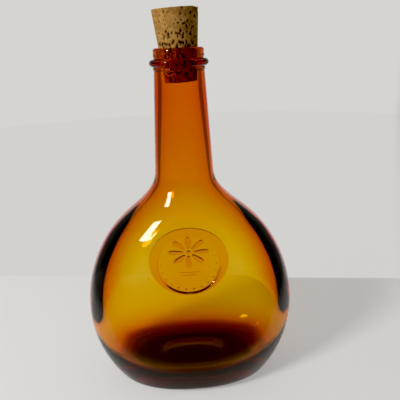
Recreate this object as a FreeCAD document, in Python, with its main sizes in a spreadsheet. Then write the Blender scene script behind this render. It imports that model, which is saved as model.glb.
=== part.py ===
"""Antique glass bottle: a flattened, round-shouldered flask closed by a tapered cork.

Millimetres. +Z is up, the bottle stands on Z = 0 and its neck is on the Z axis.
The belly is widest along X. Its front, which carries the seal, faces -Y.
"""
import FreeCAD, Part

import math
import os

import Sketcher

DIMENSIONS = [
    # name, value (mm, except for the one power)
    ("glass_height", 208.0),        # base to lip
    ("belly_half_width", 65.4),
    ("belly_half_depth", 38.5),
    ("belly_height", 49.0),         # height of the widest section
    ("crown_rise", 78.0),           # widest section to the top of the shoulder dome
    ("keel_drop", 70.0),            # widest section to where the lower curve would close
    ("depth_power", 2.5),           # how full the side profile is; 2 is an ellipse
    ("width_blend", 21.7),          # reach of the curve from shoulder to neck, from the front
    ("depth_blend", 12.4),          # the same curve, from the side
    ("neck_foot_height", 137.0),
    ("neck_foot_radius", 17.45),
    ("neck_top_height", 197.5),
    ("neck_top_radius", 14.0),
    ("lip_radius", 14.2),
    ("lip_base_height", 202.6),
    ("lip_round", 1.2),
    ("side_wall", 7.0),
    ("face_wall", 3.2),
    ("crown_wall", 5.0),
    ("neck_wall", 3.6),
    ("floor_height", 5.5),
    ("floor_round", 7.0),
    ("heel_round", 6.0),
    ("bore_radius", 10.65),
    ("bore_depth", 22.0),
    ("mouth_round", 0.8),
    ("kick_half_width", 33.0),      # the hollow pushed up into the base
    ("kick_half_depth", 19.0),
    ("kick_height", 6.5),
    ("kick_wall", 5.0),
    ("ring_radius", 16.5),          # the string ring laid round the neck
    ("ring_height", 4.0),
    ("ring_round", 1.9),
    ("ring_base_height", 198.2),
    ("seal_height", 95.0),          # height of the seal's centre
    ("seal_half_width", 22.5),
    ("seal_half_height", 18.6),
    ("seal_thickness", 1.5),
    ("seal_relief", 0.7),           # rim and petals stand this far above the field
    ("seal_rim_width", 3.4),
    ("petal_count", 8),
    ("petal_reach", 6.4),           # seal's centre to a petal's centre
    ("petal_half_length", 3.6),
    ("petal_half_width", 1.5),
    ("cork_top_radius", 12.5),
    ("cork_end_radius", 9.0),
    ("cork_length", 38.0),
    ("cork_exposed", 20.0),         # length of cork standing above the lip
    ("cork_bevel", 0.6),
]
VALUES = dict(DIMENSIONS)

# Section heights of the belly, as shares of the way down to the base and up to the crown.
LOWER_SHARES = (1.0, 0.78, 0.5, 0.22)
UPPER_SHARES = (0.0, 0.22, 0.42, 0.6, 0.74, 0.86, 0.95)
THROUGH_ALL = 200.0                 # longer than any cut has to reach

doc = FreeCAD.newDocument("AntiqueBottle")
sheet = doc.addObject("Spreadsheet::Sheet", "Dimensions")


def fill_sheet():
    """Put every driving dimension in a cell of its own, under its name."""
    for row, (name, value) in enumerate(DIMENSIONS, start=1):
        sheet.set(f"A{row}", name)
        sheet.set(f"B{row}", str(value))
        sheet.setAlias(f"B{row}", name)
    doc.recompute()


def cells(formula):
    """A formula with each [name] turned into a reference to that cell."""
    return formula.replace("[", "Dimensions.").replace("]", "")


# ---------------------------------------------------------------- bodies, sketches, features
def new_body(label):
    """An empty body that carries its own label."""
    body = doc.addObject("PartDesign::Body", label)
    body.Label = label
    return body


def origin_part(body, role):
    """The plane or axis of the body's own origin that has the given role."""
    return next(item for item in body.Origin.OriginFeatures if item.Role == role)


def new_sketch(body, name, role="XY_Plane", height=None):
    """A sketch on one of the body's origin planes, lifted along the plane's normal."""
    sketch = body.newObject("Sketcher::SketchObject", name)
    sketch.AttachmentSupport = [(origin_part(body, role), "")]
    sketch.MapMode = "FlatFace"
    if height is not None:
        sketch.setExpression("AttachmentOffset.Base.z", cells(height))
    return sketch


def bind(sketch, kind, *where, value, rough=10.0):
    """Add a dimension to a sketch, near its size, and tie it to a formula over the cells."""
    index = sketch.addConstraint(Sketcher.Constraint(kind, *where, rough))
    sketch.setExpression(f"Constraints[{index}]", cells(value))


def fix(sketch, kind, *where):
    """Add a constraint that has no size."""
    sketch.addConstraint(Sketcher.Constraint(kind, *where))


def draw_circle(sketch, radius):
    """A circle about the sketch's origin."""
    circle = sketch.addGeometry(Part.Circle(FreeCAD.Vector(), FreeCAD.Vector(0, 0, 1), 10))
    fix(sketch, "Coincident", circle, 3, -1, 1)
    bind(sketch, "Radius", circle, value=radius)


def draw_oval(sketch, half_width, half_height):
    """An ellipse about the sketch's origin, wider than it is high."""
    ends = FreeCAD.Vector(60, 10, 0), FreeCAD.Vector(0, 50, 0)
    oval = sketch.addGeometry(Part.Ellipse(ends[0], ends[1], FreeCAD.Vector(0, 10, 0)))
    sketch.exposeInternalGeometry(oval)
    fix(sketch, "Horizontal", oval + 1)
    fix(sketch, "PointOnObject", oval, 3, -2)
    fix(sketch, "PointOnObject", oval, 3, -1)
    bind(sketch, "Distance", oval + 1, value=f"2 * ({half_width})")
    bind(sketch, "Distance", oval + 2, value=f"2 * ({half_height})")


def draw_seal_oval(sketch, inset="0"):
    """The seal's outline, or one that lies inside it; it starts near its size, so it solves surely."""
    wide, high, up = (VALUES[f"seal_{name}"] for name in ("half_width", "half_height", "height"))
    oval = sketch.addGeometry(Part.Ellipse(
        FreeCAD.Vector(wide, up, 0), FreeCAD.Vector(0, up + high, 0), FreeCAD.Vector(0, up, 0)))
    sketch.exposeInternalGeometry(oval)
    fix(sketch, "Horizontal", oval + 1)
    fix(sketch, "PointOnObject", oval, 3, -2)
    bind(sketch, "DistanceY", -1, 1, oval, 3, value="[seal_height]", rough=up)
    bind(sketch, "Distance", oval + 1, value=f"2 * ([seal_half_width] - {inset})", rough=2 * wide)
    bind(sketch, "Distance", oval + 2, value=f"2 * ([seal_half_height] - {inset})", rough=2 * high)


def draw_profile(sketch, points):
    """A closed outline of straight lines; each point is a pair of formulas (across, up)."""
    count = len(points)
    first = sketch.GeometryCount
    rough = [FreeCAD.Vector(10 + 5 * math.cos(i), 100 + 5 * math.sin(i), 0) for i in range(count)]
    for i in range(count):
        sketch.addGeometry(Part.LineSegment(rough[i], rough[(i + 1) % count]))
    for i in range(count):
        fix(sketch, "Coincident", first + i, 2, first + (i + 1) % count, 1)
    for i, (across, up) in enumerate(points, start=first):
        if across == "0":
            fix(sketch, "PointOnObject", i, 1, -2)
        else:
            bind(sketch, "DistanceX", -1, 1, i, 1, value=across)
        bind(sketch, "DistanceY", -1, 1, i, 1, value=up)


def spin_profile(body, name, kind, sketch):
    """Turn a sketch on the XZ plane right round the Z axis, to add or to cut."""
    turn = body.newObject(f"PartDesign::{kind}", name)
    turn.Profile = sketch
    turn.ReferenceAxis = (sketch, ["V_Axis"])
    turn.Angle = 360.0
    return turn


def round_edges(body, name, base, radius, wanted):
    """Round the edges of a feature that a test picks out."""
    doc.recompute()
    picked = [f"Edge{i}" for i, edge in enumerate(base.Shape.Edges, start=1) if wanted(edge)]
    fillet = body.newObject("PartDesign::Fillet", name)
    fillet.Base = (base, picked)
    fillet.setExpression("Radius", cells(radius))
    return fillet


def has_radius(radius):
    """A test for level circles of a radius about the Z axis."""
    def wanted(edge):
        box = edge.BoundBox
        return box.ZLength < 0.01 and abs(box.XMax - radius) < 0.01
    return wanted


def lies_at(height, radius=None):
    """A test for level edges at a height and, if given, of a radius about the Z axis."""
    def wanted(edge):
        box = edge.BoundBox
        level = box.ZLength < 0.01 and abs(box.ZMin - height) < 0.01
        return level and (radius is None or has_radius(radius)(edge))
    return wanted


# ---------------------------------------------------------------- the belly's shape
OUTSIDE = ("0", "0", "0", "0")
INSIDE = ("[side_wall]", "[face_wall]", "[crown_wall]", "[neck_wall]")


def swell(height, rise, power):
    """Share of the belly's full size at a height: 1 at the widest section, 0 at the end."""
    share = f"min(abs({height} - [belly_height]) / ({rise}); 1)"
    return f"(1 - ({share})^{power})^(1 / {power})"


def neck_radius(height, wall):
    """Radius of the neck's straight taper at a height, less a wall."""
    taper = "([neck_foot_radius] - [neck_top_radius]) / ([neck_top_height] - [neck_foot_height])"
    return f"([neck_foot_radius] - {taper} * ({height} - [neck_foot_height]) - ({wall}))"


def melt(first, second, reach):
    """The larger of two sizes, with the step from one to the other rounded off."""
    return (f"max({first}; {second})"
            f" + max({reach} - abs({first} - {second}); 0)^2 / (4 * {reach})")


def belly_sizes(height, upper, walls):
    """Formulas for the half width and half depth of the section at a height."""
    width_wall, depth_wall, end_wall, neck_wall = walls
    rise = f"[crown_rise] - ({end_wall})" if upper else "[keel_drop]"
    width = f"(([belly_half_width] - ({width_wall})) * {swell(height, rise, '2')})"
    depth = f"(([belly_half_depth] - ({depth_wall})) * {swell(height, rise, '[depth_power]')})"
    if not upper:
        return width, depth
    neck = neck_radius(height, neck_wall)
    return melt(width, neck, "[width_blend]"), melt(depth, neck, "[depth_blend]")


def belly_loft(body, name, kind, walls=OUTSIDE, lowest=None):
    """Loft the belly up to the foot of the neck, set back from the outside by walls.

    walls holds the set-back across, front to back, at the crown and in the neck.
    lowest, if given, is the height of the bottom section instead of the base.
    """
    heights = [(f"[belly_height] * {1 - share:.2f}", False) for share in LOWER_SHARES]
    if lowest is not None:
        heights[0] = (lowest, False)
    heights += [(f"[belly_height] + [crown_rise] * {share}", True) for share in UPPER_SHARES]
    sections = []
    for number, (height, upper) in enumerate(heights):
        sketch = new_sketch(body, f"{name}Section{number}", height=height)
        draw_oval(sketch, *belly_sizes(f"({height})", upper, walls))
        sections.append(sketch)
    foot = new_sketch(body, f"{name}Foot", height="[neck_foot_height]")
    draw_circle(foot, neck_radius("[neck_foot_height]", walls[3]))
    sections.append(foot)
    loft = body.newObject(f"PartDesign::{kind}Loft", name)
    loft.Profile = sections[0]
    loft.Sections = sections[1:]
    return loft


# ---------------------------------------------------------------- sub-parts
def make_glass_body():
    """The blown body: belly, neck, lip, hollow, mouth and the pushed-up base."""
    body = new_body("glass_body")
    belly_loft(body, "Belly", "Additive")
    neck = new_sketch(body, "NeckProfile", "XZ_Plane")
    draw_profile(neck, [
        ("0", "[neck_foot_height]"),
        ("[neck_foot_radius]", "[neck_foot_height]"),
        ("[neck_top_radius]", "[neck_top_height]"),
        ("[neck_top_radius]", "[lip_base_height]"),
        ("[lip_radius]", "[lip_base_height]"),
        ("[lip_radius]", "[glass_height]"),
        ("0", "[glass_height]"),
    ])
    outside = spin_profile(body, "NeckAndLip", "Revolution", neck)
    heel = round_edges(body, "Heel", outside, "[heel_round]", lies_at(0.0))
    doc.recompute()
    displaced = heel.Shape.Volume

    hollow = belly_loft(body, "Hollow", "Subtractive", INSIDE, "[floor_height]")
    at_floor = lies_at(VALUES["floor_height"])
    round_edges(body, "FloorRound", hollow, "[floor_round]", at_floor)
    throat = new_sketch(body, "ThroatProfile", "XZ_Plane")
    draw_profile(throat, [
        ("0", "[neck_foot_height]"),
        ("[neck_foot_radius] - [neck_wall]", "[neck_foot_height]"),
        ("[bore_radius]", "[glass_height] - [bore_depth]"),
        ("[bore_radius]", "[glass_height]"),
        ("0", "[glass_height]"),
    ])
    hollow_out = spin_profile(body, "Throat", "Groove", throat)
    doc.recompute()
    capacity = displaced - hollow_out.Shape.Volume

    kicks = (("KickInside", "Additive", "[kick_wall]"), ("KickOutside", "Subtractive", "0"))
    for name, kind, wall in kicks:
        kick = body.newObject(f"PartDesign::{kind}Ellipsoid", name)
        kick.AttachmentSupport = [(origin_part(body, "XY_Plane"), "")]
        kick.MapMode = "FlatFace"
        kick.Angle1 = 0.0
        kick.setExpression("Radius1", cells(f"[kick_height] + {wall}"))
        kick.setExpression("Radius2", cells(f"[kick_half_width] + {wall}"))
        kick.setExpression("Radius3", cells(f"[kick_half_depth] + {wall}"))

    at_lip = VALUES["glass_height"]
    rim_outside = lies_at(at_lip, VALUES["lip_radius"])
    lip_edge = round_edges(body, "LipRound", kick, "[lip_round]", rim_outside)
    rim_inside = lies_at(at_lip, VALUES["bore_radius"])
    body.Tip = round_edges(body, "MouthRound", lip_edge, "[mouth_round]", rim_inside)
    doc.recompute()
    print(f"glass_body displaces {displaced / 1000:.0f} ml and holds about {capacity / 1000:.0f} ml")
    return body


def make_neck_ring():
    """The bead of glass laid round the neck, which once held the cork's string."""
    body = new_body("neck_ring")
    sketch = new_sketch(body, "RingProfile", "XZ_Plane")
    top = "[ring_base_height] + [ring_height]"
    draw_profile(sketch, [
        ("[neck_top_radius]", "[ring_base_height]"),
        ("[ring_radius]", "[ring_base_height]"),
        ("[ring_radius]", top),
        ("[neck_top_radius]", top),
    ])
    ring = spin_profile(body, "Ring", "Revolution", sketch)
    body.Tip = round_edges(body, "RingRound", ring, "[ring_round]", has_radius(VALUES["ring_radius"]))
    return body


def cut_through(body, name, sketch, halves):
    """Cut a sketch on the XZ plane through one half of the body or through both."""
    pocket = body.newObject("PartDesign::Pocket", name)
    pocket.Profile = sketch
    pocket.Length = THROUGH_ALL
    pocket.Midplane = halves == 2
    return pocket


def draw_surround(sketch):
    """A rectangle on the XZ plane that takes in the whole bottle."""
    left, right = "-2 * [belly_half_width]", "2 * [belly_half_width]"
    low, high = "-[belly_height]", "2 * [glass_height]"
    draw_profile(sketch, [(left, low), (right, low), (right, high), (left, high)])


def draw_petal(sketch, number):
    """One long petal of the flower, pointing out from the seal's centre."""
    turn = 2 * math.pi * (number + 0.5) / VALUES["petal_count"]
    along = FreeCAD.Vector(math.cos(turn), math.sin(turn), 0)
    across = FreeCAD.Vector(-along.y, along.x, 0)
    centre = FreeCAD.Vector(0, VALUES["seal_height"], 0) + along * VALUES["petal_reach"]
    tip = centre + along * VALUES["petal_half_length"]
    side = centre + across * VALUES["petal_half_width"]
    petal = sketch.addGeometry(Part.Ellipse(tip, side, centre))
    sketch.exposeInternalGeometry(petal)
    angle = f"(360 deg * {number + 0.5} / [petal_count])"
    bind(sketch, "DistanceX", -1, 1, petal, 3, value=f"[petal_reach] * cos({angle})", rough=centre.x)
    bind(sketch, "DistanceY", -1, 1, petal, 3,
         value=f"[seal_height] + [petal_reach] * sin({angle})", rough=centre.y)
    bind(sketch, "Angle", petal + 1, value=angle, rough=turn)
    long_way, short_way = VALUES["petal_half_length"], VALUES["petal_half_width"]
    bind(sketch, "Distance", petal + 1, value="2 * [petal_half_length]", rough=2 * long_way)
    bind(sketch, "Distance", petal + 2, value="2 * [petal_half_width]", rough=2 * short_way)


def make_seal_medallion():
    """The oval pad of glass pressed on the front, with a raised rim and a flower."""
    body = new_body("seal_medallion")
    proud = ("-([seal_thickness] + [seal_relief])",) * 4
    belly_loft(body, "RaisedSkin", "Additive", proud)
    field = new_sketch(body, "FieldOval", "XZ_Plane")
    draw_seal_oval(field, inset="[seal_rim_width]")
    for number in range(VALUES["petal_count"]):
        draw_petal(field, number)
    cut_through(body, "Field", field, halves=2)
    belly_loft(body, "FieldSkin", "Additive", ("-[seal_thickness]",) * 4)
    belly_loft(body, "SeatSkin", "Subtractive")
    outline = new_sketch(body, "SealOutline", "XZ_Plane")
    draw_surround(outline)
    draw_seal_oval(outline)
    cut_through(body, "Trim", outline, halves=2)
    behind = new_sketch(body, "BackHalf", "XZ_Plane")
    draw_surround(behind)
    cut_through(body, "FrontOnly", behind, halves=1)
    return body


def make_cork_stopper():
    """The tapered cork, its wide end standing above the lip."""
    body = new_body("cork_stopper")
    sketch = new_sketch(body, "CorkProfile", "XZ_Plane")
    top = "([glass_height] + [cork_exposed])"
    end = f"({top} - [cork_length])"
    draw_profile(sketch, [
        ("0", end),
        ("[cork_end_radius] - [cork_bevel]", end),
        ("[cork_end_radius]", f"{end} + [cork_bevel]"),
        ("[cork_top_radius]", f"{top} - [cork_bevel]"),
        ("[cork_top_radius] - [cork_bevel]", top),
        ("0", top),
    ])
    spin_profile(body, "Cork", "Revolution", sketch)
    return body


def check_document():
    """Stop if any object of the document failed to recompute."""
    for item in doc.Objects:
        if "Invalid" in item.State or "Error" in item.State:
            raise RuntimeError(f"{item.Label} failed: {item.State}")


def check_and_write(node):
    """Stop if a sub-part's shape is missing or broken, then write its file."""
    shape = node.Shape
    if shape.isNull() or not shape.isValid() or len(shape.Solids) != 1:
        raise RuntimeError(f"{node.Label} is not one valid solid")
    box = shape.BoundBox
    print(f"{node.Label}: {shape.Volume / 1000:.2f} cm3,"
          f" X {box.XMin:.1f} to {box.XMax:.1f}, Y {box.YMin:.1f} to {box.YMax:.1f},"
          f" Z {box.ZMin:.1f} to {box.ZMax:.1f}")
    shape.exportStep(f"parts/{node.Label}.step")


fill_sheet()
nodes = [make_glass_body(), make_neck_ring(), make_seal_medallion(), make_cork_stopper()]
doc.recompute()
check_document()
os.makedirs("parts", exist_ok=True)
for node in nodes:
    check_and_write(node)
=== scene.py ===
"""Antique amber glass bottle with a cork: the detailed model, built round its CAD frame.

Everything is in metres in the frame's own axes: +Z up the neck, the wide belly along X and
the front, with its seal, towards -Y.
"""

import logging
import math
from dataclasses import dataclass, field
from enum import Enum

import bmesh
import bpy
from mathutils import Matrix, Vector, noise


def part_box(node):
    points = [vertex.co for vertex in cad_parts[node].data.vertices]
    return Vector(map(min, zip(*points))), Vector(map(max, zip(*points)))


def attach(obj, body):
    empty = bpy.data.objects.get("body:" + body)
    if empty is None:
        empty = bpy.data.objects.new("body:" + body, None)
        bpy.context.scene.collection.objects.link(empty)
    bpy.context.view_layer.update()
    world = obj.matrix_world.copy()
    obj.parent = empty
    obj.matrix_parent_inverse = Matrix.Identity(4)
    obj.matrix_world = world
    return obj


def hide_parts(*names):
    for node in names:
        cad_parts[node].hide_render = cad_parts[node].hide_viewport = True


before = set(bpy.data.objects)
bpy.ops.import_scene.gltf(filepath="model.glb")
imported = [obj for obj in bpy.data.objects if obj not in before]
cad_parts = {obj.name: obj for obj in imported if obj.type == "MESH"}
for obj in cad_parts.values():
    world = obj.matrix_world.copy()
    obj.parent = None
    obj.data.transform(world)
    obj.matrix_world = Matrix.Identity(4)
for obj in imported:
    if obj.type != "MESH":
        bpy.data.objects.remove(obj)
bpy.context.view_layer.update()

MM = 0.001
LEVEL = 0.05 * MM  # two heights closer than this are one level
SLOPE_STEP = 0.5 * MM  # how far apart two places are that give a slope

Colour = tuple[float, float, float]
Paint = tuple[float, ...] | bpy.types.NodeSocket

log = logging.getLogger("bottle")


# ---------------------------------------------------------------- small helpers
def deselect_all() -> None:
    """Leave edit mode and select nothing."""
    if bpy.context.mode != "OBJECT":
        bpy.ops.object.mode_set(mode="OBJECT")
    bpy.ops.object.select_all(action="DESELECT")


def take_new(name: str) -> bpy.types.Object:
    """Name the object that an operator has just added.

    Args:
        name: the piece's name, also given to its mesh.

    Returns:
        The new object.
    """
    piece = bpy.context.object
    piece.name = name
    piece.data.name = name
    return piece


def focus(piece: bpy.types.Object) -> None:
    """Make a piece the only one that is selected, and the active one.

    Args:
        piece: the object that the next operators work on.
    """
    deselect_all()
    piece.select_set(True)
    bpy.context.view_layer.objects.active = piece


def settle(piece: bpy.types.Object) -> None:
    """Put a piece's place, turn and size into its mesh."""
    focus(piece)
    bpy.ops.object.transform_apply(location=True, rotation=True, scale=True)


def smoothstep(low: float, high: float, value: float) -> float:
    """Ease from 0 to 1.

    Args:
        low: the value that gives 0.
        high: the value that gives 1; it may be the smaller of the two.
        value: the value to ease.

    Returns:
        The share of the way, eased at both ends.
    """
    share = min(max((value - low) / (high - low), 0.0), 1.0)
    return share * share * (3.0 - 2.0 * share)


def melt(first: float, second: float, reach: float) -> float:
    """Join two sizes smoothly.

    Args:
        first: one size.
        second: the other size.
        reach: how close the two are when the join starts.

    Returns:
        The larger size, a little more where the two are close.
    """
    overlap = max(reach - abs(first - second), 0.0)
    return max(first, second) + overlap * overlap / (4.0 * reach)


def smooth_shade(piece: bpy.types.Object) -> None:
    """Shade the whole piece smooth."""
    focus(piece)
    bpy.ops.object.shade_smooth()


def face_outwards(piece: bpy.types.Object) -> None:
    """Turn every face of a closed piece to the outside.

    Args:
        piece: the closed piece.
    """
    focus(piece)
    bpy.ops.object.mode_set(mode="EDIT")
    bpy.ops.mesh.select_all(action="SELECT")
    bpy.ops.mesh.normals_make_consistent(inside=False)
    bpy.ops.object.mode_set(mode="OBJECT")


def grey(value: float) -> tuple[float, float, float, float]:
    """A paint that is grey, very slightly warm."""
    return value, value * 0.99, value * 0.965, 1.0


def fill_ramp(ramp: bpy.types.Node, stops: list[tuple[float, Colour]]) -> None:
    """Set a colour ramp's stops.

    Args:
        ramp: the colour ramp's node.
        stops: each stop's position and colour.
    """
    elements = ramp.color_ramp.elements
    while len(elements) < len(stops):
        elements.new(0.5)
    for element, (position, colour) in zip(elements, stops):
        element.position = position
        element.color = (*colour, 1.0)


# ---------------------------------------------------------------- finishes
class NodeSheet:
    """A material and the few calls that wire its nodes."""

    def __init__(self, name: str) -> None:
        """Start a material with only its Principled shader."""
        self.material = bpy.data.materials.new(name)
        self.material.use_nodes = True
        self.tree = self.material.node_tree
        self.shader = self.tree.nodes["Principled BSDF"]
        self.output = self.tree.nodes["Material Output"]

    def add(self, kind: str, **settings: object) -> bpy.types.Node:
        """Add a node.

        Args:
            kind: the node type's name after "ShaderNode".
            settings: properties, or inputs by name with spaces as underscores.

        Returns:
            The node.
        """
        node = self.tree.nodes.new("ShaderNode" + kind)
        for key, value in settings.items():
            if hasattr(node, key):
                setattr(node, key, value)
            else:
                node.inputs[key.replace("_", " ")].default_value = value
        return node

    def link(self, source: bpy.types.NodeSocket, target: bpy.types.NodeSocket) -> None:
        """Join an output to an input."""
        self.tree.links.new(source, target)

    def place(self) -> tuple[bpy.types.NodeSocket, bpy.types.NodeSocket, bpy.types.NodeSocket]:
        """Read where a point lies on its own piece.

        Returns:
            Its X, Y and Z.
        """
        parts = self.add("SeparateXYZ")
        self.link(self.add("TexCoord").outputs["Object"], parts.inputs[0])
        return parts.outputs["X"], parts.outputs["Y"], parts.outputs["Z"]

    def sum_of(self, first: bpy.types.NodeSocket, second: bpy.types.NodeSocket,
               weight: float) -> bpy.types.NodeSocket:
        """Add two values.

        Args:
            first: the value that is added as it is.
            second: the value that is weighted.
            weight: what the second value is multiplied by.

        Returns:
            The sum.
        """
        node = self.add("Math", operation="MULTIPLY_ADD")
        self.link(second, node.inputs[0])
        node.inputs[1].default_value = weight
        self.link(first, node.inputs[2])
        return node.outputs[0]

    def size_of(self, value: bpy.types.NodeSocket) -> bpy.types.NodeSocket:
        """Drop a value's sign.

        Args:
            value: the value.

        Returns:
            Its size.
        """
        node = self.add("Math", operation="ABSOLUTE")
        self.link(value, node.inputs[0])
        return node.outputs[0]

    def step_up(self, value: bpy.types.NodeSocket, edge: float,
                softness: float) -> bpy.types.NodeSocket:
        """Compare a value with an edge.

        Args:
            value: the value.
            edge: where the step is.
            softness: how far to each side the step is eased.

        Returns:
            0 below the edge and 1 above it.
        """
        node = self.add("MapRange", interpolation_type="SMOOTHSTEP")
        node.inputs["From Min"].default_value = edge - softness
        node.inputs["From Max"].default_value = edge + softness
        self.link(value, node.inputs["Value"])
        return node.outputs[0]

    def oval(self, across: bpy.types.NodeSocket, ahead: bpy.types.NodeSocket, half_width: float,
             half_depth: float, softness: float) -> bpy.types.NodeSocket:
        """Compare a place with an oval about the middle.

        Args:
            across: the place's X.
            ahead: the place's Y.
            half_width: the oval's half size along X.
            half_depth: the oval's half size along Y.
            softness: how far the edge is eased, as a share of the oval.

        Returns:
            0 within the oval and 1 outside it.
        """
        join = self.add("CombineXYZ")
        for value, size, target in ((across, half_width, 0), (ahead, half_depth, 1)):
            part = self.add("Math", operation="DIVIDE")
            self.link(value, part.inputs[0])
            part.inputs[1].default_value = size
            self.link(part.outputs[0], join.inputs[target])
        reach = self.add("VectorMath", operation="LENGTH")
        self.link(join.outputs[0], reach.inputs[0])
        return self.step_up(reach.outputs["Value"], 1.0, softness)

    def blend_of(self, share: bpy.types.NodeSocket, first: Paint,
                 second: Paint) -> bpy.types.NodeSocket:
        """Mix two paints.

        Args:
            share: 0 for the first paint and 1 for the second.
            first: a colour or a socket.
            second: a colour or a socket.

        Returns:
            The mixed paint.
        """
        node = self.add("Mix", data_type="RGBA")
        self.link(share, node.inputs[0])
        for value, target in ((first, node.inputs[6]), (second, node.inputs[7])):
            if isinstance(value, tuple):
                target.default_value = (*value, 1.0)[:4]
            else:
                self.link(value, target)
        return node.outputs[2]


@dataclass(frozen=True)
class AmberGlass:
    """Clear amber glass: the colour is in its thickness, and its face is painted dark near the base as
    painted shade.
    """

    ior: float = 1.5
    roughness: float = 0.0
    face_tint: Colour = (1.0, 0.97, 0.55)
    gloss_tint: Colour = (0.68, 0.56, 0.42)
    kept_light: Colour = (0.978, 0.80, 0.0)
    # Painted shade: the fields below paint the glass dark towards its bottom and in two ovals on its floor,
    # for the shadow under the bottle seen through the thick base.
    foot_shade_reach: float = 40.0 * MM
    foot_shade_tints: tuple[tuple[float, Colour], ...] = (
        (0.0 * MM, (0.05, 0.012, 0.012)), (4.0 * MM, (0.08, 0.02, 0.018)),
        (7.0 * MM, (0.35, 0.14, 0.07)), (10.0 * MM, (0.90, 0.75, 0.42)))
    shade_ring_half_width: float = 43.0 * MM
    shade_ring_half_depth: float = 24.0 * MM
    shade_ring_tint: Colour = (0.30, 0.10, 0.04)
    shade_dome_half_width: float = 32.0 * MM
    shade_dome_half_depth: float = 18.0 * MM
    shade_dome_tint: Colour = (0.03, 0.008, 0.006)
    shade_edge_softness: float = 0.03
    face_tint_share: float = 0.4
    shade_top: float = 22.0 * MM
    shade_top_softness: float = 1.0 * MM
    density: float = 1150.0
    ripple_size: float = 16 * MM
    ripple_height: float = 0.25 * MM
    ripple_strength: float = 0.25

    def material(self) -> bpy.types.Material:
        """Make the glass.

        Returns:
            The material, coloured by its depth, with painted shade on its face near the base.
        """
        sheet = NodeSheet("amber_glass")
        shader = sheet.shader
        shader.inputs["Transmission Weight"].default_value = 1.0
        shader.inputs["IOR"].default_value = self.ior
        shader.inputs["Specular Tint"].default_value = (*self.gloss_tint, 1.0)
        shader.inputs["Roughness"].default_value = self.roughness
        depth = sheet.add("VolumeAbsorption", Color=(*self.kept_light, 1.0), Density=self.density)
        sheet.link(depth.outputs[0], sheet.output.inputs["Volume"])
        across, ahead, up = sheet.place()
        # Painted shade: the base colour darkens towards the bottom of the glass.
        level = sheet.add("MapRange")
        level.inputs["From Max"].default_value = self.foot_shade_reach
        sheet.link(up, level.inputs["Value"])
        tint = sheet.add("ValToRGB")
        stops = [(height / self.foot_shade_reach, colour) for height, colour in self.foot_shade_tints]
        fill_ramp(tint, stops + [(self.face_tint_share, self.face_tint)])
        sheet.link(level.outputs[0], tint.inputs[0])
        # Painted shade: a dark ring and a darker dome on the floor of the glass, below a set height.
        ring = sheet.oval(across, ahead, self.shade_ring_half_width, self.shade_ring_half_depth, self.shade_edge_softness)
        dome = sheet.oval(across, ahead, self.shade_dome_half_width, self.shade_dome_half_depth, self.shade_edge_softness)
        low = sheet.step_up(up, self.shade_top, self.shade_top_softness)
        paint = sheet.blend_of(ring, self.shade_ring_tint, tint.outputs[0])
        paint = sheet.blend_of(dome, self.shade_dome_tint, paint)
        paint = sheet.blend_of(low, paint, tint.outputs[0])
        sheet.link(paint, shader.inputs["Base Color"])
        place = sheet.add("TexCoord")
        ripple = sheet.add("TexNoise", Scale=1.0 / self.ripple_size, Detail=1.0)
        sheet.link(place.outputs["Object"], ripple.inputs["Vector"])
        bump = sheet.add("Bump", Strength=self.ripple_strength, Distance=self.ripple_height)
        sheet.link(ripple.outputs[0], bump.inputs["Height"])
        sheet.link(bump.outputs[0], shader.inputs["Normal"])
        return sheet.material


@dataclass(frozen=True)
class NaturalCork:
    """Pale cork bark with dark pits; the pits come from the mesh's own attribute."""

    pale: Colour = (0.60, 0.33, 0.095)
    warm: Colour = (0.38, 0.18, 0.05)
    pit: Colour = (0.03, 0.012, 0.005)
    warm_below: float = 0.36
    pale_above: float = 0.62
    roughness: float = 0.85
    gloss: float = 0.2
    grain_strength: float = 0.5
    grain_height: float = 0.25 * MM

    def material(self) -> bpy.types.Material:
        """Make the cork.

        Returns:
            The material, cloudy with dark pits and a fine grain.
        """
        sheet = NodeSheet("cork")
        shader = sheet.shader
        place = sheet.add("TexCoord")
        cloud = sheet.add("TexNoise", Scale=260.0, Detail=5.0, Roughness=0.65)
        grain = sheet.add("TexNoise", Scale=1500.0, Detail=3.0, Roughness=0.6)
        for texture in (cloud, grain):
            sheet.link(place.outputs["Object"], texture.inputs["Vector"])
        tone = sheet.add("ValToRGB")
        fill_ramp(tone, [(self.warm_below, self.warm), (self.pale_above, self.pale)])
        sheet.link(cloud.outputs[0], tone.inputs[0])
        pits = sheet.add("Attribute", attribute_name="pits")
        paint = sheet.blend_of(pits.outputs["Fac"], tone.outputs[0], self.pit)
        sheet.link(paint, shader.inputs["Base Color"])
        shader.inputs["Roughness"].default_value = self.roughness
        shader.inputs["Specular IOR Level"].default_value = self.gloss
        bump = sheet.add("Bump", Strength=self.grain_strength, Distance=self.grain_height)
        sheet.link(grain.outputs[0], bump.inputs["Height"])
        sheet.link(bump.outputs[0], shader.inputs["Normal"])
        return sheet.material


# ---------------------------------------------------------------- the glass
@dataclass(frozen=True)
class Ring:
    """One level oval of the glass's skin."""

    half_width: float
    half_depth: float
    height: float


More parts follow.
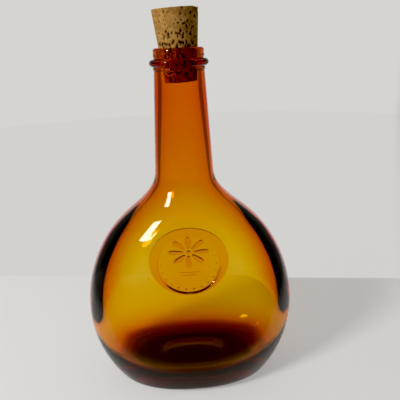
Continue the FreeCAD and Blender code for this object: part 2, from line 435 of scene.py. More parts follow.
@dataclass
class SealDie:
    """The relief that the oval seal carries, as a height over the belly's skin.

    Places on the seal are measured across and up from its centre.
    """

    half_width: float = 22.5 * MM
    half_height: float = 18.6 * MM
    edge: float = 0.8 * MM
    thickness: float = 0.85 * MM
    field_half_width: float = 17.6 * MM
    field_half_height: float = 15.8 * MM
    field_drop: float = 1.6 * MM
    rim_height: float = 0.75 * MM
    rim_slant: float = 0.5 * MM
    rim_start: float = 0.3 * MM
    rim_step: float = 0.8 * MM
    petals: int = 8
    flower_lift: float = 5.8 * MM
    flower_squash: float = 0.72
    petal_start: float = 2.6 * MM
    petal_end: float = 11.4 * MM
    petal_half_width: float = 1.7 * MM
    petal_height: float = 1.2 * MM
    eye_radius: float = 1.5 * MM
    beads: int = 22
    bead_radius: float = 0.75 * MM
    bead_height: float = 0.35 * MM
    bead_inset: float = 2.0 * MM
    bars: tuple[tuple[float, float], ...] = ((-5.4 * MM, 7.5 * MM), (-7.0 * MM, 6.0 * MM))
    bar_half_height: float = 0.45 * MM
    bar_relief: float = 0.25 * MM

    def oval(self, across: float, up: float, half_width: float, half_height: float) -> float:
        """Measure how far inside an oval a place is.

        Args:
            across: the place's X on the seal.
            up: the place's height on the seal.
            half_width: the oval's half width.
            half_height: the oval's half height.

        Returns:
            Roughly the distance from the edge, negative outside the oval.
        """
        share = math.hypot(across / half_width, up / half_height)
        return (1.0 - share) * (half_width + half_height) / 2.0

    def flower(self, across: float, up: float) -> float:
        """Height of the flower's petals and eye at a place.

        Args:
            across: the place's X on the seal.
            up: the place's height on the seal.

        Returns:
            The height over the skin or over the pad.
        """
        up = (up - self.flower_lift) / self.flower_squash
        reach = math.hypot(across, up)
        if reach > self.petal_end * 1.2:
            return 0.0
        turn = math.atan2(up, across) * self.petals / (2.0 * math.pi) - 0.5 * (self.petals % 2)
        off_axis = (turn - round(turn)) * 2.0 * math.pi / self.petals
        side = abs(reach * math.sin(off_axis))
        along = (reach * math.cos(off_axis) - self.petal_start) / (self.petal_end - self.petal_start)
        petal = 0.0
        if 0.0 < along < 1.0:
            swell = math.sin(math.pi * along**1.5) ** 0.6
            width = self.petal_half_width * (0.35 + 0.65 * swell)
            petal = smoothstep(1.0, 0.6, side / width) * smoothstep(0.0, 0.08, along)
            petal *= smoothstep(1.0, 0.9, along)
        eye = smoothstep(self.eye_radius, self.eye_radius * 0.5, reach)
        return self.petal_height * max(petal, eye)

    def bead_border(self, across: float, up: float) -> float:
        """Height of the ring of small beads just inside the rim.

        Args:
            across: the place's X on the seal.
            up: the place's height on the seal.

        Returns:
            The height over the skin or over the pad.
        """
        half_width = self.field_half_width - self.bead_inset
        half_height = self.field_half_height - self.bead_inset
        up += self.field_drop
        turn = math.atan2(up / half_height, across / half_width) * self.beads / (2.0 * math.pi)
        angle = round(turn) * 2.0 * math.pi / self.beads
        away = math.hypot(across - half_width * math.cos(angle), up - half_height * math.sin(angle))
        return self.bead_height * smoothstep(self.bead_radius, self.bead_radius * 0.4, away)

    def height(self, across: float, up: float) -> float:
        """Height of the whole relief at a place on the seal.

        Args:
            across: the place's X on the seal.
            up: the place's height on the seal.

        Returns:
            The height over the skin or over the pad.
        """
        inside_edge = self.oval(across, up, self.half_width, self.half_height)
        total = self.thickness * smoothstep(0.0, self.edge, inside_edge)
        inside_rim = self.oval(across, up + self.field_drop,
                               self.field_half_width, self.field_half_height)
        rim = self.rim_height - self.rim_slant * up / self.half_height
        rim *= smoothstep(self.rim_start, self.edge, inside_edge)
        total += rim * smoothstep(self.rim_step, 0.0, inside_rim)
        total += self.flower(across, up) + self.bead_border(across, up)
        for level, half_length in self.bars:
            bar = smoothstep(self.bar_half_height, 0.0, abs(up - level))
            bar *= smoothstep(half_length, half_length * 0.6, abs(across))
            total += self.bar_relief * bar
        return total


class Skin(Enum):
    """The two skins of the blown glass."""

    OUTSIDE = "outside"
    INSIDE = "inside"


@dataclass
class BottleGlass:
    """The blown bottle with its string ring and seal, as one skin inside and out."""

    height: float
    half_width: float
    half_depth: float
    seal_height: float
    belly_height: float = 49.0 * MM
    crown_rise: float = 78.0 * MM
    depth_crown_rise: float = 82.0 * MM
    keel_drop: float = 70.0 * MM
    depth_power: float = 2.5
    width_blend: float = 21.7 * MM
    depth_blend: float = 12.4 * MM
    neck_foot_height: float = 129.0 * MM
    neck_foot_radius: float = 17.9 * MM
    neck_top_height: float = 197.5 * MM
    neck_top_radius: float = 14.0 * MM
    lip_radius: float = 14.2 * MM
    ring_radius: float = 16.5 * MM
    ring_base: float = 198.2 * MM
    ring_height: float = 4.0 * MM
    bore_radius: float = 10.65 * MM
    bore_depth: float = 22.0 * MM
    flare_low: float = 118.0 * MM
    flare_top: float = 138.0 * MM
    most_slant: float = 1.15
    side_wall: float = 5.3 * MM
    high_side_wall: float = 4.7 * MM
    low_side_wall: float = 1.8 * MM
    side_wall_low: float = 39.0 * MM
    side_wall_full: float = 56.0 * MM
    side_wall_high: float = 105.0 * MM
    face_wall: float = 1.35 * MM
    neck_wall: float = 2.9 * MM
    floor_height: float = 5.5 * MM
    floor_power: float = 5.0
    outer_power: float = 2.3
    inner_power: float = 2.6
    heel_round: float = 6.0 * MM
    kick_half_width: float = 33.0 * MM
    kick_half_depth: float = 19.0 * MM
    kick_height: float = 6.5 * MM
    inner_kick_half_width: float = 38.0 * MM
    inner_kick_half_depth: float = 22.0 * MM
    inner_kick_height: float = 11.0 * MM
    neck_heights: tuple[float, ...] = (142.0 * MM, 150.0 * MM, 160.0 * MM, 170.0 * MM, 180.0 * MM,
                                       190.0 * MM, 195.0 * MM)
    hollow_heights: tuple[float, ...] = (186.0 * MM, 178.0 * MM, 170.0 * MM, 160.0 * MM, 150.0 * MM,
                                         142.0 * MM)
    heel_steps: int = 8
    belly_steps: int = 48
    dome_steps: int = 10
    square_reach: float = 45.0 * MM
    inside_share: float = 0.985
    floor_gap: float = 0.15 * MM
    floor_crowding: float = 0.075
    dome_share: float = 0.96
    seal_cuts: int = 3
    pad_margin: float = 1.0 * MM
    pad_spread: float = 1.08
    segments: int = 84
    seal: SealDie = field(default_factory=SealDie)

    # ---- shape
    def neck_radius(self, height: float) -> float:
        """Follow the neck's taper.

        Args:
            height: the level, up from the base.

        Returns:
            The neck's outside radius.
        """
        share = (height - self.neck_foot_height) / (self.neck_top_height - self.neck_foot_height)
        return self.neck_foot_radius + (self.neck_top_radius - self.neck_foot_radius) * share

    def swell(self, height: float, rise: float, power: float) -> float:
        """Tell how full the belly is.

        Args:
            height: the level, up from the base.
            rise: how far from the widest level the curve closes.
            power: how full the curve is; 2 is an ellipse.

        Returns:
            The share of the belly's full size.
        """
        share = min(abs(height - self.belly_height) / rise, 1.0)
        return (1.0 - share**power) ** (1.0 / power)

    def belly(self, height: float) -> tuple[float, float]:
        """Size the belly as it runs straight into the neck.

        Args:
            height: the level, up from the base.

        Returns:
            The half width and half depth.
        """
        upper = height > self.belly_height
        rise, depth_rise = self.keel_drop, self.keel_drop
        if upper:
            rise, depth_rise = self.crown_rise, self.depth_crown_rise
        width = self.half_width * self.swell(height, rise, 2.0)
        depth = self.half_depth * self.swell(height, depth_rise, self.depth_power)
        if not upper:
            return width, depth
        neck = self.neck_radius(height)
        return melt(width, neck, self.width_blend), melt(depth, neck, self.depth_blend)

    def outside(self, height: float) -> tuple[float, float]:
        """Size the outside, with the neck's flared foot.

        Args:
            height: the level, up from the base.

        Returns:
            The half width and half depth.
        """
        if height <= self.flare_low:
            return self.belly(height)
        if height >= self.flare_top:
            return self.neck_radius(height), self.neck_radius(height)
        span = self.flare_top - self.flare_low
        share = (height - self.flare_low) / span
        step = SLOPE_STEP
        below, low = self.belly(self.flare_low - step), self.belly(self.flare_low)
        top = self.neck_radius(self.flare_top)
        slope_top = (self.neck_radius(self.flare_top + step) - top) / step
        sizes = []
        for size, smaller in zip(low, below):
            slope = (size - smaller) / step
            sizes.append(size * (2.0 * share**3 - 3.0 * share**2 + 1.0)
                         + span * slope * (share**3 - 2.0 * share**2 + share)
                         + top * (3.0 * share**2 - 2.0 * share**3)
                         + span * slope_top * (share**3 - share**2))
        return sizes[0], sizes[1]

    def slopes(self, height: float) -> tuple[float, float]:
        """Compare a level cut through the wall with the wall's thickness.

        Args:
            height: the level, up from the base.

        Returns:
            How many times longer the cut is at the side and at the face.
        """
        step = SLOPE_STEP
        above, below = self.outside(height + step), self.outside(height - step)
        return tuple(math.hypot(1.0, (high - low) / (2.0 * step)) for high, low in zip(above, below))

    def inside(self, height: float) -> tuple[float, float]:
        """Size the hollow.

        Args:
            height: the level, up from the base.

        Returns:
            The half width and half depth.
        """
        outer_width, outer_depth = self.outside(height)
        bore_foot = self.height - self.bore_depth
        if height > self.flare_top:
            share = min((height - self.flare_top) / (bore_foot - self.flare_top), 1.0)
            foot = self.neck_radius(self.flare_top) - self.neck_wall
            neck = foot + (self.bore_radius - foot) * share
            return neck, neck
        to_neck = smoothstep(self.flare_low - 12.0 * MM, self.flare_top, height)
        to_low = smoothstep(self.side_wall_full, self.side_wall_low, height)
        to_high = smoothstep(self.side_wall_full, self.side_wall_high, height)
        side = self.side_wall + (self.low_side_wall - self.side_wall) * to_low
        side += (self.high_side_wall - self.side_wall) * to_high
        side += (self.neck_wall - side) * to_neck
        face = self.face_wall + (self.neck_wall - self.face_wall) * to_neck
        slope_x, slope_y = self.slopes(height)
        width = outer_width - side * min(slope_x, self.most_slant)
        depth = outer_depth - face * min(slope_y, self.most_slant)
        if height < self.belly_height:
            closing = (self.belly_height - height) / (self.belly_height - self.floor_height)
            closed = (1.0 - min(closing, 1.0) ** self.floor_power) ** (1.0 / self.floor_power)
            return width * closed, depth * closed
        return width, depth

    def kick_rings(self, half_width: float, half_depth: float, height: float,
                   base: float) -> list[Ring]:
        """Draw a pushed-up dome.

        Args:
            half_width: the dome's half width at its rim.
            half_depth: the dome's half depth at its rim.
            height: how far the dome rises over its rim.
            base: height of the rim.

        Returns:
            Rings from near the dome's top down to its rim.
        """
        rings = []
        for step in range(1, self.dome_steps + 1):
            share = step / self.dome_steps
            rise = height * (0.5 + 0.5 * math.cos(math.pi * share))
            rings.append(Ring(half_width * share, half_depth * share, base + rise))
        return rings

    def outside_rings(self) -> list[Ring]:
        """Draw the outside of the base, the belly and the neck.

        Returns:
            Rings from the top of the pushed-up base, out and up to the foot of the lip.
        """
        rings = self.kick_rings(self.kick_half_width, self.kick_half_depth, self.kick_height, 0.0)
        for step in range(1, self.heel_steps + 1):
            turn = 0.5 * math.pi * step / self.heel_steps
            height = self.heel_round * (1.0 - math.cos(turn))
            width, depth = self.outside(height)
            inset = self.heel_round * (1.0 - math.sin(turn))
            rings.append(Ring(width - inset, depth - inset, height))
        start = self.heel_round
        for step in range(1, self.belly_steps + 1):
            height = start + (self.flare_top - start) * step / self.belly_steps
            rings.append(Ring(*self.outside(height), height))
        for height in self.neck_heights:
            radius = self.neck_radius(height)
            rings.append(Ring(radius, radius, height))
        return rings

    def lip_rings(self) -> list[Ring]:
        """Draw the string ring and the lip.

        Returns:
            Rings up from under the string ring and over the lip into the bore.
        """
        ring_low, ring_top = self.ring_base, self.ring_base + self.ring_height
        middle = (ring_low + ring_top) / 2.0
        proud = self.ring_radius - self.neck_top_radius
        profile = [(self.neck_top_radius + 0.05 * MM, ring_low - 1.9 * MM),
                   (self.neck_top_radius + 0.50 * MM, ring_low - 1.5 * MM),
                   (self.neck_top_radius + 0.60 * MM, ring_low - 1.0 * MM),
                   (self.neck_top_radius + 0.45 * MM, ring_low - 0.5 * MM),
                   (self.neck_top_radius + 0.10 * MM, ring_low - 0.15 * MM)]
        for step in range(9):
            turn = math.pi * (step / 8.0 - 0.5)
            profile.append((self.neck_top_radius + proud * (0.15 + 0.85 * math.cos(turn)),
                            middle + 0.5 * self.ring_height * math.sin(turn)))
        top = self.height
        profile += [(self.neck_top_radius - 0.35 * MM, ring_top + 0.25 * MM),
                    (self.neck_top_radius - 0.30 * MM, ring_top + 0.6 * MM),
                    (self.lip_radius - 0.10 * MM, ring_top + 1.1 * MM),
                    (self.lip_radius, ring_top + 1.6 * MM),
                    (self.lip_radius - 0.30 * MM, top - 3.0 * MM),
                    (self.lip_radius - 0.30 * MM, top - 2.6 * MM),
                    (self.lip_radius - 0.05 * MM, top - 1.6 * MM),
                    (self.lip_radius - 0.35 * MM, top - 0.7 * MM),
                    (self.lip_radius - 1.0 * MM, top - 0.12 * MM),
                    (self.lip_radius - 1.8 * MM, top),
                    (self.bore_radius + 0.9 * MM, top - 0.05 * MM),
                    (self.bore_radius + 0.3 * MM, top - 0.35 * MM),
                    (self.bore_radius + 0.05 * MM, top - 1.0 * MM),
                    (self.bore_radius, top - 2.5 * MM),
                    (self.bore_radius, top - 8.0 * MM),
                    (self.bore_radius, top - 15.0 * MM)]
        return [Ring(radius, radius, height) for radius, height in profile]

    def inside_rings(self) -> list[Ring]:
        """Draw the hollow.

        Returns:
            Rings from the bottom of the bore down and in to the middle of the floor.
        """
        rings = []
        for height in self.hollow_heights:
            rings.append(Ring(*self.inside(height), height))
        low = self.floor_height + self.floor_gap
        for step in range(self.belly_steps + 1):
            share = step / self.belly_steps
            eased = share + self.floor_crowding * math.sin(2.0 * math.pi * share)
            height = self.flare_top + (low - self.flare_top) * eased
            rings.append(Ring(*self.inside(height), height))
        last = rings[-1]
        dome = self.inner_kick_height - self.floor_height
        domes = self.kick_rings(self.inner_kick_half_width, self.inner_kick_half_depth, dome,
                                self.floor_height)
        wide = [ring for ring in domes if ring.half_width < self.dome_share * last.half_width]
        return rings + wide[::-1]

    # ---- making
    def blow(self) -> bpy.types.Object:
        """Draw the skin out ring by ring, from under the kick to the floor inside it.

        Returns:
            The closed glass, not yet squared or pressed.
        """
        rings = self.outside_rings() + self.lip_rings() + self.inside_rings()
        first = rings[0]
        deselect_all()
        bpy.ops.mesh.primitive_circle_add(vertices=self.segments, radius=1.0, fill_type="TRIFAN")
        piece = take_new("bottle_glass")
        piece.scale = (first.half_width, first.half_depth, 1.0)
        piece.location = (0.0, 0.0, first.height)
        settle(piece)
        bpy.ops.object.mode_set(mode="EDIT")
        bpy.ops.mesh.select_mode(type="EDGE")
        bpy.ops.mesh.select_all(action="DESELECT")
        bpy.ops.mesh.select_non_manifold()
        last = first
        for ring in rings[1:]:
            bpy.ops.mesh.extrude_edges_move(
                TRANSFORM_OT_translate={"value": (0.0, 0.0, ring.height - last.height)})
            stretch = (ring.half_width / last.half_width, ring.half_depth / last.half_depth, 1.0)
            bpy.ops.transform.resize(value=stretch, center_override=(0.0, 0.0, ring.height))
            last = ring
        bpy.ops.mesh.edge_face_add()
        bpy.ops.mesh.poke()
        bpy.ops.mesh.select_all(action="SELECT")
        bpy.ops.mesh.normals_make_consistent(inside=False)
        bpy.ops.object.mode_set(mode="OBJECT")
        soften = piece.modifiers.new("soften", "SUBSURF")
        soften.levels = soften.render_levels = 1
        bpy.ops.object.modifier_apply(modifier=soften.name)
        log.info("%s blown: %d rings, %d faces", piece.name, len(rings), len(piece.data.polygons))
        return piece

    def oval_power(self, height: float, skin: Skin) -> float:
        """Tell how square an oval is: round in the neck, fuller in the belly.

        Args:
            height: the oval's height.
            skin: the skin that it is on.

        Returns:
            The power of the oval's curve; 2 is an ellipse.
        """
        share = smoothstep(self.neck_foot_height, self.neck_foot_height - self.square_reach, height)
        power = self.outer_power
        if skin is Skin.INSIDE:
            thick = smoothstep(self.side_wall_low, self.side_wall_full, height)
            power += (self.inner_power - self.outer_power) * thick
        return 2.0 + (power - 2.0) * share

    def fill_out(self, piece: bpy.types.Object) -> None:
        """Square the belly's ovals a little, more inside than outside.

        Args:
            piece: the blown glass.
        """
        for vertex in piece.data.vertices:
            place = vertex.co
            if place.z > self.neck_foot_height or math.hypot(place.x, place.y) < 1e-5:
                continue
            outer_width, outer_depth = self.outside(place.z)
            along_x, along_y = abs(place.x) / outer_width, abs(place.y) / outer_depth
            skin = Skin.INSIDE if math.hypot(along_x, along_y) < self.inside_share else Skin.OUTSIDE
            power = self.oval_power(place.z, skin)
            if skin is Skin.INSIDE:
                inner_width, inner_depth = self.inside(max(place.z, self.floor_height + 2.0 * self.floor_gap))
                along_x, along_y = abs(place.x) / inner_width, abs(place.y) / inner_depth
            size = math.hypot(along_x, along_y)
            turn_x, turn_y = along_x / size, along_y / size
            swollen = (turn_x**power + turn_y**power) ** (-1.0 / power)
            place.x *= swollen
            place.y *= swollen
        piece.data.update()

    def skin_y(self, x: float, z: float) -> float:
        """Find the front skin as it is before the seal is pressed.

        Args:
            x: the place's X.
            z: the place's height.

        Returns:
            The skin's Y.
        """
        width, depth = self.outside(z)
        power = self.oval_power(z, Skin.OUTSIDE)
        return -depth * max(1.0 - (abs(x) / width) ** power, 0.0) ** (1.0 / power)

    def skin_normal(self, x: float, z: float) -> Vector:
        """Find which way the front skin faces.

        Args:
            x: the place's X.
            z: the place's height.

        Returns:
            The outward direction.
        """
        step = SLOPE_STEP
        slope_x = (self.skin_y(x + step, z) - self.skin_y(x - step, z)) / (2.0 * step)
        slope_z = (self.skin_y(x, z + step) - self.skin_y(x, z - step)) / (2.0 * step)
        return Vector((slope_x, -1.0, slope_z)).normalized()

    def press_seal(self, piece: bpy.types.Object) -> None:
        """Raise the oval pad and its relief on the front of the outside skin.

        Args:
            piece: the squared glass.
        """
        reach_x = self.seal.half_width + self.pad_margin
        reach_z = self.seal.half_height + self.pad_margin
        middle = self.seal_height

        def on_pad(place: Vector) -> bool:
            """Tell whether a place is on the outside skin under the pad.

            Args:
                place: a place on the glass.

            Returns:
                True where the pad is raised.
            """
            if place.y > 0.0 or abs(place.x) > reach_x or abs(place.z - middle) > reach_z:
                return False
            if abs(place.y - self.skin_y(place.x, place.z)) > 0.5 * self.face_wall:
                return False
            return math.hypot(place.x / reach_x, (place.z - middle) / reach_z) < self.pad_spread

        focus(piece)
        bpy.ops.object.mode_set(mode="EDIT")
        bpy.ops.mesh.select_mode(type="FACE")
        bpy.ops.mesh.select_all(action="DESELECT")
        bpy.ops.object.mode_set(mode="OBJECT")
        for polygon in piece.data.polygons:
            polygon.select = on_pad(polygon.center)
        bpy.ops.object.mode_set(mode="EDIT")
        bpy.ops.mesh.subdivide(number_cuts=self.seal_cuts, smoothness=0.0)
        bpy.ops.mesh.select_mode(type="EDGE")
        bpy.ops.object.mode_set(mode="OBJECT")
        for edge in piece.data.edges:
            start, end = (piece.data.vertices[index].co for index in edge.vertices)
            level = abs(start.z - end.z) < LEVEL
            edge.select = level and on_pad(start) and on_pad(end)
        bpy.ops.object.mode_set(mode="EDIT")
        bpy.ops.mesh.subdivide(number_cuts=1, smoothness=0.0)
        bpy.ops.object.mode_set(mode="OBJECT")
        pressed = 0
        for vertex in piece.data.vertices:
            place = vertex.co
            if not on_pad(place):
                continue
            relief = self.seal.height(place.x, place.z - middle)
            skin = Vector((place.x, self.skin_y(place.x, place.z), place.z))
            vertex.co = skin + self.skin_normal(place.x, place.z) * relief
            pressed += 1
        piece.data.update()
        log.info("seal pressed: %d points, %d faces in all", pressed, len(piece.data.polygons))

    def make(self) -> bpy.types.Object:
        """Build and dress the glass.

        Returns:
            The finished glass.
        """
        piece = self.blow()
        self.fill_out(piece)
        self.press_seal(piece)
        smooth_shade(piece)
        piece.data.materials.append(AmberGlass().material())
        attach(piece, "bottle")
        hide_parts("glass_body", "neck_ring", "seal_medallion")
        return piece


# ---------------------------------------------------------------- the cork
@dataclass
class CorkStopper:
    """The tapered cork, with real pits in its bark."""

    low: float
    high: float
    top_radius: float
    mouth_height: float
    end_radius: float = 9.0 * MM
    segments: int = 160
    rows: int = 80
    end_insets: int = 9
    inset_width: float = 0.9 * MM
    pit_depth: float = 0.6 * MM
    pit_frequency: float = 700.0
    spot_frequency: float = 1050.0
    spot_rise_frequency: float = 620.0
    few_pits: float = 0.34
    more_pits: float = 0.21
    chip_depth: float = 1.9 * MM
    chip_reach: float = 5.5 * MM
    chip_end_share: float = 0.4
    lean: float = 2.5
    seed: float = 7.3

    def blank(self) -> bpy.types.Object:
        """Make the plain tapered cork and divide its ends.

        Returns:
            The blank.
        """
        deselect_all()
        bpy.ops.mesh.primitive_cone_add(
            vertices=self.segments, radius1=self.end_radius, radius2=self.top_radius,
            depth=self.high - self.low, location=(0.0, 0.0, (self.low + self.high) / 2.0))
        piece = take_new("cork_with_pits")
        settle(piece)
        bpy.ops.object.mode_set(mode="EDIT")
        bpy.ops.mesh.select_mode(type="FACE")
        for _ in range(self.end_insets):
            self.inset_ends(piece)
        bpy.ops.object.mode_set(mode="OBJECT")
        return piece

    def inset_ends(self, piece: bpy.types.Object) -> None:
        """Inset the two end faces by one step, in edit mode.

        Args:
            piece: the cork.
        """
        bpy.ops.mesh.select_all(action="DESELECT")
        shape = bmesh.from_edit_mesh(piece.data)
        for face in shape.faces:
            face.select = abs(face.normal.z) > 0.9 and len(face.verts) > 4
        bmesh.update_edit_mesh(piece.data)
        bpy.ops.mesh.inset(thickness=self.inset_width, depth=0.0)

    def divide_sides(self, piece: bpy.types.Object) -> None:
        """Cut the side into level rows.

        Args:
            piece: the cork.
        """
        focus(piece)
        bpy.ops.object.mode_set(mode="EDIT")
        for row in range(1, self.rows):
            height = self.low + (self.high - self.low) * row / self.rows
            bpy.ops.mesh.select_all(action="SELECT")
            bpy.ops.mesh.bisect(plane_co=(0.0, 0.0, height), plane_no=(0.0, 0.0, 1.0))
        bpy.ops.object.mode_set(mode="OBJECT")

    def pit(self, place: Vector) -> float:
        """Tell how deep the bark is pitted.

        Args:
            place: a place on the cork.

        Returns:
            The depth, from 0 to 1.
        """
        rough = noise.fractal(place * self.pit_frequency + Vector((self.seed, 0, 0)), 0.9, 2.2, 3)
        spots = noise.noise(Vector((place.x * self.spot_frequency, place.y * self.spot_frequency,
                                    place.z * self.spot_rise_frequency + self.seed)))
        low_share = smoothstep(self.high, self.low + 0.5 * (self.high - self.low), place.z)
        threshold = self.few_pits - self.more_pits * low_share
        return smoothstep(threshold, threshold + 0.10, 0.75 * spots + 0.45 * rough)

    def carve(self, piece: bpy.types.Object) -> None:
        """Sink the pits, chip the top edge and note each pit for the colour.

        Args:
            piece: the divided cork.
        """
        pits = piece.data.attributes.new("pits", "FLOAT", "POINT")
        middle = (self.low + self.high) / 2.0
        chip = Vector((self.top_radius * 0.97, -self.top_radius * 0.30, self.high))
        for vertex in piece.data.vertices:
            place = vertex.co.copy()
            depth = self.pit(place)
            pits.data[vertex.index].value = depth
            inward = Vector((-place.x, -place.y, 0.0))
            if inward.length > 1e-6:
                inward.normalize()
            on_end = min(abs(place.z - self.high), abs(place.z - self.low)) < LEVEL
            if on_end:
                inward = Vector((0.0, 0.0, 1.0 if place.z < middle else -1.0))
            away = (place - chip).length
            bite = self.chip_depth * smoothstep(self.chip_reach, 0.6 * MM, away)
            if on_end:
                bite *= self.chip_end_share
            vertex.co = place + inward * (self.pit_depth * depth + bite)
        piece.data.update()

    def tip_over(self, piece: bpy.types.Object) -> None:
        """Lean the cork a little in the mouth, and keep its top edge at the frame's height.

        Args:
            piece: the carved cork.
        """
        focus(piece)
        bpy.ops.object.mode_set(mode="EDIT")
        bpy.ops.mesh.select_all(action="SELECT")
        bpy.ops.transform.rotate(value=math.radians(self.lean), orient_axis="Y",
                                 center_override=(0.0, 0.0, self.mouth_height))
        bpy.ops.object.mode_set(mode="OBJECT")
        over = max(vertex.co.z for vertex in piece.data.vertices) - self.high
        share = 1.0 - over / (self.high - self.mouth_height + over)
        for vertex in piece.data.vertices:
            if vertex.co.z > self.mouth_height:
                vertex.co.z = self.mouth_height + (vertex.co.z - self.mouth_height) * share
        piece.data.update()

    def make(self) -> bpy.types.Object:
        """Build and dress the cork.

        Returns:
            The finished cork.
        """
        piece = self.blank()
        self.divide_sides(piece)
        self.carve(piece)
        self.tip_over(piece)
        face_outwards(piece)
        smooth_shade(piece)
        piece.data.materials.append(NaturalCork().material())
        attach(piece, "cork")
        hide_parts("cork_stopper")
        log.info("%s carved: %d faces", piece.name, len(piece.data.polygons))
        return piece


# ---------------------------------------------------------------- the studio
@dataclass
class Studio:
    """Pale floor, round backdrop, a window-shaped light and the camera."""

    table_edge: float = 0.115
    table_slant: float = 0.124
    floor_drop: float = -0.2 * MM
    # Painted light: the pale sheet near the bottle glows.
    sheet_glow: float = 0.32
    far_glow: float = 0.64
    sheet_half_width: float = 0.19
    sheet_spread: float = 0.46
    sheet_front: float = -0.052
    sheet_front_softness: float = 0.004
    sheet_tone: float = 0.63
    flank_tone: float = 0.45
    wall_glow: float = 0.66
    wall_bright_height: float = 0.52
    wall_bright_softness: float = 0.12
    wall_front: float = -0.45
    wall_front_softness: float = 0.3
    flank_glow: float = 0.2
    front_glow: float = 0.15
    # Painted shadow under the bottle: an oval on the floor and its darker core.
    shade_half_width: float = 43.0 * MM
    shade_half_depth: float = 27.0 * MM
    shade_tone: float = 0.12
    shadow_core_half_width: float = 34.0 * MM
    shadow_core_half_depth: float = 19.0 * MM
    shadow_core_tone: float = 0.01
    shade_softness: float = 0.06
    window_power: float = 9.0
    window_azimuth: float = 54.0
    window_elevation: float = 31.0
    window_distance: float = 1.2
    window_target: float = 0.09
    window_width: float = 0.24
    window_tall: float = 0.30
    world_glow: float = 0.3
    black_level: float = 0.015
    bounces: int = 24
    far_tone: float = 0.02
    far_softness: float = 0.001
    flank_softness: float = 0.05
    radius: float = 1.1
    wall_height: float = 1.3
    camera_distance: float = 253.0 * MM
    camera_height: float = 212.0 * MM
    pitch: float = 20.14
    yaw: float = -1.97
    roll: float = 2.2
    sensor_width: float = 36.0
    focal_length: float = 39.6

    def flank_share(self, sheet: NodeSheet, across: bpy.types.NodeSocket,
                    ahead: bpy.types.NodeSocket) -> bpy.types.NodeSocket:
        """Tell the bright wedge that widens behind the bottle from its dim flanks.

        Args:
            sheet: the material that the nodes go in.
            across: the place's X.
            ahead: the place's Y.

        Returns:
            0 in the wedge and 1 on its flanks.
        """
        width = sheet.sum_of(sheet.size_of(across), ahead, -self.sheet_spread)
        return sheet.step_up(width, self.sheet_half_width, self.flank_softness)

    def floor(self) -> None:
        """The floor: a pale sheet round the bottle whose near part glows as painted light, its far side
        glowing like the wall, with a painted shadow under the bottle.
        """
        deselect_all()
        bpy.ops.mesh.primitive_circle_add(vertices=96, radius=self.radius * 1.03, fill_type="NGON",
                                          location=(0.0, 0.0, self.floor_drop))
        floor = take_new("floor")
        settle(floor)
        sheet = NodeSheet("floor_paint")
        across, ahead, _ = sheet.place()
        far = sheet.step_up(sheet.sum_of(ahead, across, self.table_slant), self.table_edge,
                            self.far_softness)
        flank = self.flank_share(sheet, across, ahead)
        near = sheet.step_up(ahead, self.sheet_front, self.sheet_front_softness)
        # Painted shadow: a dark oval under the bottle and a darker core inside it.
        under = sheet.oval(across, ahead, self.shade_half_width, self.shade_half_depth,
                           self.shade_softness)
        shadow_core = sheet.oval(across, ahead, self.shadow_core_half_width, self.shadow_core_half_depth,
                          self.shade_softness)
        paint = sheet.blend_of(flank, grey(self.sheet_tone), grey(self.flank_tone))
        paint = sheet.blend_of(near, grey(self.flank_tone), paint)
        paint = sheet.blend_of(under, grey(self.shade_tone), paint)
        paint = sheet.blend_of(shadow_core, grey(self.shadow_core_tone), paint)
        paint = sheet.blend_of(far, paint, grey(self.far_tone))
        sheet.link(paint, sheet.shader.inputs["Base Color"])
        # Painted light: the near sheet glows, but not in front and not in the painted shadow under the
        # bottle.
        lit = sheet.blend_of(flank, grey(self.sheet_glow), grey(0.0))
        lit = sheet.blend_of(near, grey(0.0), lit)
        lit = sheet.blend_of(under, grey(0.0), lit)
        glow = sheet.blend_of(flank, grey(self.far_glow), grey(self.flank_glow))
        glow = sheet.blend_of(far, lit, glow)
        sheet.link(glow, sheet.shader.inputs["Emission Color"])
        sheet.shader.inputs["Emission Strength"].default_value = 1.0
        sheet.shader.inputs["Roughness"].default_value = 0.8
        sheet.shader.inputs["Specular IOR Level"].default_value = 0.0
        floor.data.materials.append(sheet.material)

    def backdrop(self) -> None:
        """A round wall: bright behind the bottle, greyer on both flanks and in front."""
        deselect_all()
        bpy.ops.mesh.primitive_cylinder_add(
            vertices=96, radius=self.radius, depth=self.wall_height, end_fill_type="NOTHING",
            location=(0.0, 0.0, self.wall_height / 2.0))
        wall = take_new("backdrop")
        settle(wall)
        sheet = NodeSheet("backdrop_paint")
        across, ahead, up = sheet.place()
        flank = self.flank_share(sheet, across, ahead)
        front = sheet.step_up(ahead, self.wall_front, self.wall_front_softness)
        above = sheet.step_up(up, self.wall_bright_height, self.wall_bright_softness)
        glow = sheet.blend_of(flank, grey(self.wall_glow), grey(self.flank_glow))
        glow = sheet.blend_of(above, glow, grey(self.flank_glow))
        glow = sheet.blend_of(front, grey(self.front_glow), glow)
        sheet.link(glow, sheet.shader.inputs["Emission Color"])
        sheet.shader.inputs["Emission Strength"].default_value = 1.0
        sheet.shader.inputs["Base Color"].default_value = (*(self.far_tone,) * 3, 1.0)
        sheet.shader.inputs["Specular IOR Level"].default_value = 0.0
        wall.data.materials.append(sheet.material)

    def window(self) -> None:
        """A window-shaped light in front on the left, facing the bottle."""
        lamp = bpy.data.lights.new("window", "AREA")
        lamp.shape = "RECTANGLE"
        lamp.size, lamp.size_y = self.window_width, self.window_tall
        lamp.energy = self.window_power
        holder = bpy.data.objects.new("window", lamp)
        bpy.context.scene.collection.objects.link(holder)
        turn, rise = math.radians(self.window_azimuth), math.radians(self.window_elevation)
        away = Vector((-math.sin(turn) * math.cos(rise), -math.cos(turn) * math.cos(rise),
                       math.sin(rise)))
        holder.location = Vector((0.0, 0.0, self.window_target)) + away * self.window_distance
        holder.rotation_euler = (-away).to_track_quat("-Z", "Y").to_euler()

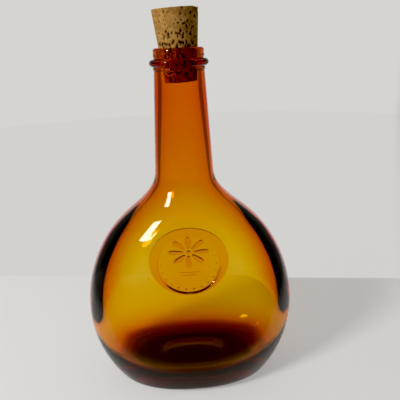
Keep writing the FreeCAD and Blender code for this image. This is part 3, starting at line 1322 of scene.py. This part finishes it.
    def glow(self) -> None:
        """A faint glow from all round."""
        world = bpy.data.worlds.new("glow")
        bpy.context.scene.world = world
        world.use_nodes = True
        world.node_tree.nodes["Background"].inputs[0].default_value = grey(self.world_glow)

    def camera(self) -> None:
        """A close camera that looks down on the bottle, turned and leaning a little."""
        lens = bpy.data.cameras.new("camera")
        lens.sensor_width = self.sensor_width
        lens.lens = self.focal_length
        lens.clip_start = 0.01
        holder = bpy.data.objects.new("camera", lens)
        bpy.context.scene.collection.objects.link(holder)
        pitch, yaw, roll = (math.radians(angle) for angle in (self.pitch, self.yaw, self.roll))
        ahead = Vector((-math.sin(yaw) * math.cos(pitch), math.cos(yaw) * math.cos(pitch),
                        -math.sin(pitch)))
        right = Vector((math.cos(yaw), math.sin(yaw), 0.0))
        above = right.cross(ahead)
        leaning_right = right * math.cos(roll) - above * math.sin(roll)
        leaning_above = right * math.sin(roll) + above * math.cos(roll)
        stand = Matrix((leaning_right, leaning_above, -ahead)).transposed().to_4x4()
        stand.translation = Vector((0.0, -self.camera_distance, self.camera_height))
        holder.matrix_world = stand
        bpy.context.scene.camera = holder

    def make(self) -> None:
        """Set the whole studio up."""
        self.floor()
        self.backdrop()
        self.window()
        self.glow()
        self.camera()
        scene = bpy.context.scene
        scene.view_settings.view_transform = "Standard"
        scene.view_settings.use_curve_mapping = True
        scene.view_settings.curve_mapping.black_level = (self.black_level,) * 3
        scene.view_settings.curve_mapping.update()
        scene.cycles.max_bounces = self.bounces
        scene.cycles.transmission_bounces = self.bounces
        scene.cycles.transparent_max_bounces = self.bounces
        log.info("studio set")


def main() -> None:
    """Build the bottle, the cork and the studio, in that order."""
    logging.basicConfig(level=logging.INFO, format="%(name)s: %(message)s")
    low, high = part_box("glass_body")
    seal_low, seal_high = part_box("seal_medallion")
    BottleGlass(height=high[2], half_width=high[0], half_depth=high[1],
                seal_height=(seal_low[2] + seal_high[2]) / 2.0).make()
    cork_low, cork_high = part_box("cork_stopper")
    CorkStopper(low=cork_low[2], high=cork_high[2], top_radius=cork_high[0],
                mouth_height=high[2]).make()
    Studio().make()


if __name__ == "__main__":
    main()
